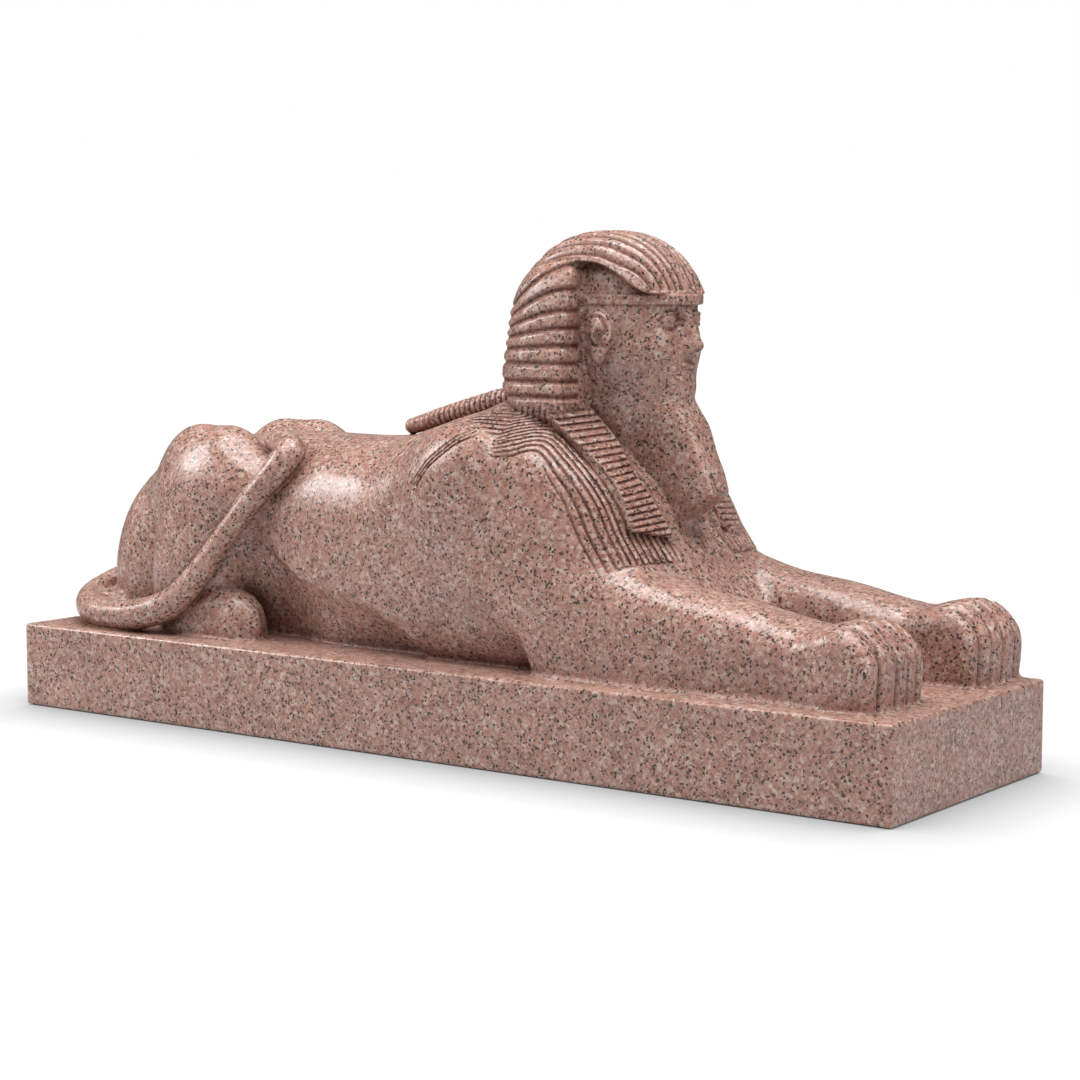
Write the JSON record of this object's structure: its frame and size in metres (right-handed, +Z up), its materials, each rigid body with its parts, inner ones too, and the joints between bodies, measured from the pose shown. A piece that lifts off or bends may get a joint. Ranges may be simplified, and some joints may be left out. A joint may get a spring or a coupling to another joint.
{
  "type": "sphinx statue",
  "caption": "Recumbent sphinx with a royal head cloth and beard, carved with its rectangular plinth from one block of pink granite.",
  "frame": {"origin": "middle of the plinth's underside", "axes": "+X the way the sphinx faces, along the plinth's length; +Y to the sphinx's left; +Z up"},
  "size_m": [0.8, 0.228, 0.3838],
  "materials": {
    "granite": "polished pink granite with pale and dark grains, duller in the grooves"
  },
  "bodies": {
    "root": {"sphinx_statue": "granite"}
  },
  "joints": []
}
